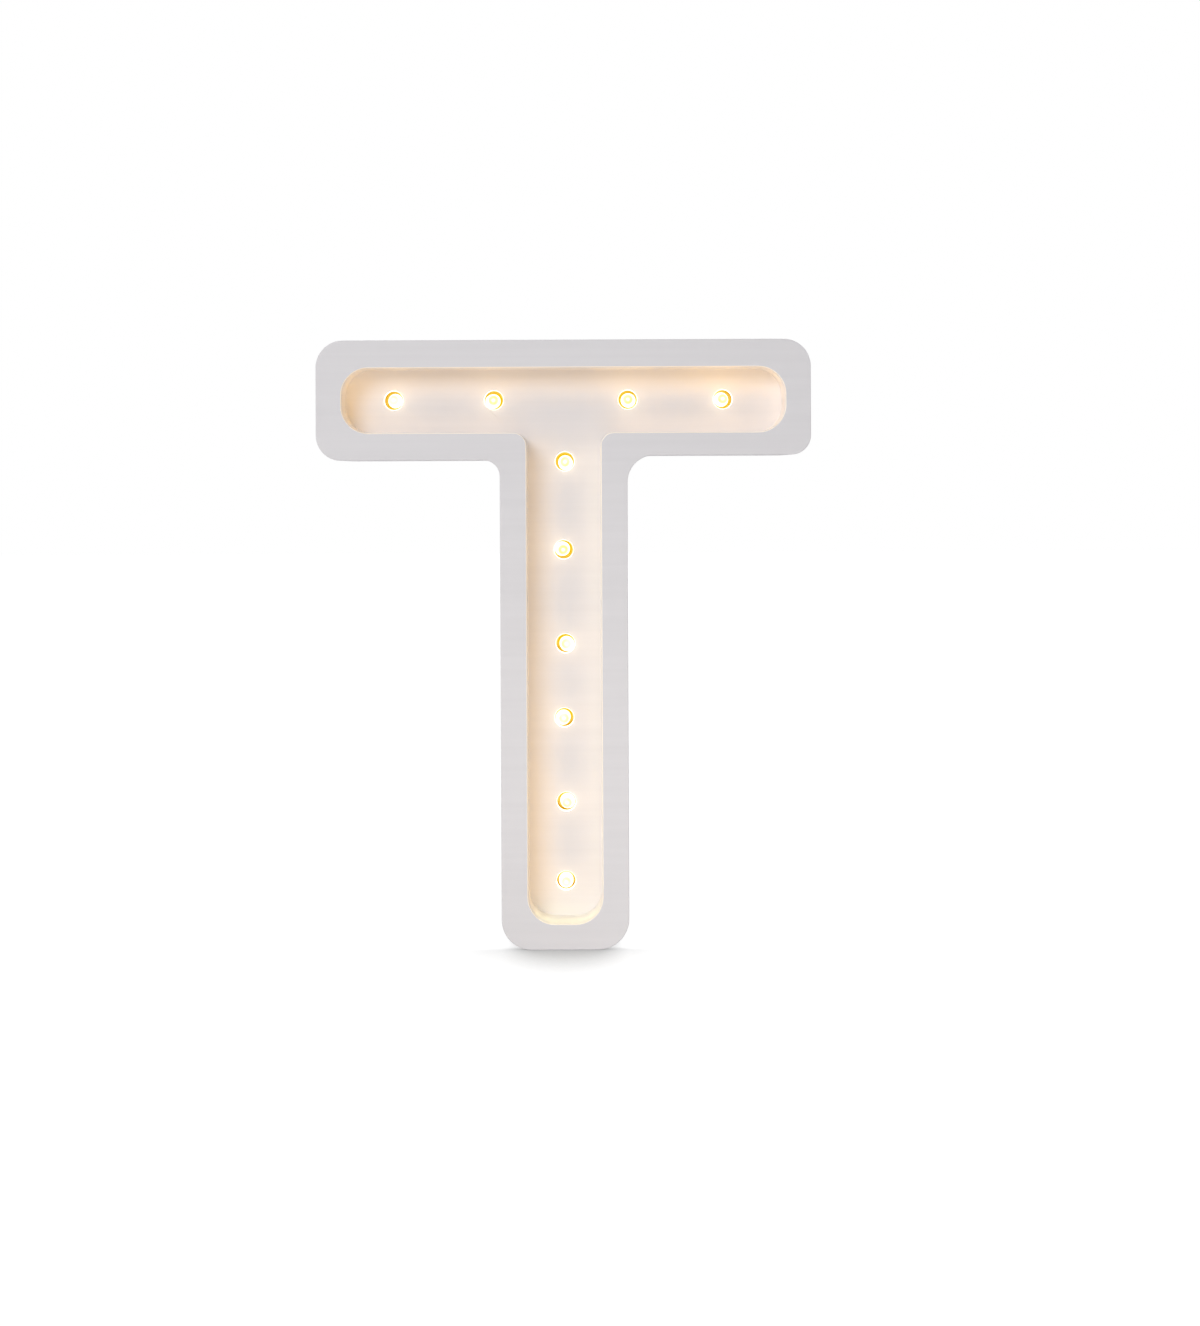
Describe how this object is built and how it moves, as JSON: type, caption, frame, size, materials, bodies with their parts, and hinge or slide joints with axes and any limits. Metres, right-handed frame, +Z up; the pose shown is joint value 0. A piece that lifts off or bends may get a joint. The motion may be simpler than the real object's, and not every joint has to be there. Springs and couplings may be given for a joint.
{
  "type": "letter night light",
  "caption": "White wooden letter with small warm lights in a recess milled into its front, and a battery box with a hung door and a slide switch let into its back.",
  "frame": {"origin": "middle of the foot of the stem, on the surface that the letter stands on", "axes": "+Z up the stem, +X along the crossbar to the right of someone who faces the lights, +Y from the lit front to the back"},
  "size_m": [0.1704, 0.0406, 0.21],
  "materials": {
    "painted_wood": "white satin paint with a faint horizontal grain",
    "screw_steel": "zinc plated",
    "lens": "clear epoxy, lit from inside",
    "tinned_lead": "tinned",
    "glue": "cloudy hot-melt glue",
    "solder": "bright solder",
    "wire_red": "soft insulation",
    "wire_black": "soft insulation",
    "box_plastic": "fine moulded grain",
    "cell_jacket": "plain sleeve with a pale band",
    "contact_metal": "nickel plated",
    "switch_metal": "stamped and plated",
    "switch_board": "laminated board",
    "knob_plastic": "moulded, with grip grooves",
    "resistor": "lacquered"
  },
  "bodies": {
    "letter": {"letter_body": "painted_wood", "back_panel": "painted_wood", "panel_screws": "screw_steel", "box_screws": "screw_steel", "switch_screws": "screw_steel", "led_lens_1": "lens", "led_lens_2": "lens", "led_lens_3": "lens", "led_lens_4": "lens", "led_lens_5": "lens", "led_lens_6": "lens", "led_lens_7": "lens", "led_lens_8": "lens", "led_lens_9": "lens", "led_lens_10": "lens", "led_leads_1": "tinned_lead", "led_leads_2": "tinned_lead", "led_leads_3": "tinned_lead", "led_leads_4": "tinned_lead", "led_leads_5": "tinned_lead", "led_leads_6": "tinned_lead", "led_leads_7": "tinned_lead", "led_leads_8": "tinned_lead", "led_leads_9": "tinned_lead", "led_leads_10": "tinned_lead", "resistor_leads": "tinned_lead", "led_glue": "glue", "solder_joints": "solder", "led_wires_red": "wire_red", "feed_wire_red": "wire_red", "switch_jumper": "wire_red", "led_wires_black": "wire_black", "feed_wire_black": "wire_black", "battery_box": "box_plastic", "battery_1": "cell_jacket", "battery_2": "cell_jacket", "contact_plus": "contact_metal", "contact_minus": "contact_metal", "contact_bridge": "contact_metal", "spring_minus": "contact_metal", "spring_bridge": "contact_metal", "switch_frame": "switch_metal", "switch_terminals": "switch_metal", "switch_base": "switch_board", "resistor_body": "resistor"},
    "battery_door": {"battery_door": "box_plastic"},
    "door_screw": {"door_screw": "screw_steel"},
    "switch_knob": {"switch_knob": "knob_plastic"}
  },
  "joints": [
    {"name": "door_swing", "type": "hinge", "parent": "letter", "child": "battery_door", "pos_m": [0, 0.02005, 0.0994], "axis": [1, 0, 0], "range_deg": [0, 70]},
    {"name": "door_screw_turn", "type": "hinge", "parent": "battery_door", "child": "door_screw", "pos_m": [0, 0.018, 0.0345], "axis": [0, 1, 0], "continuous": true},
    {"name": "switch_slide", "type": "slide", "parent": "letter", "child": "switch_knob", "axis": [-1, 0, 0], "range_m": [0, 0.0025]}
  ]
}
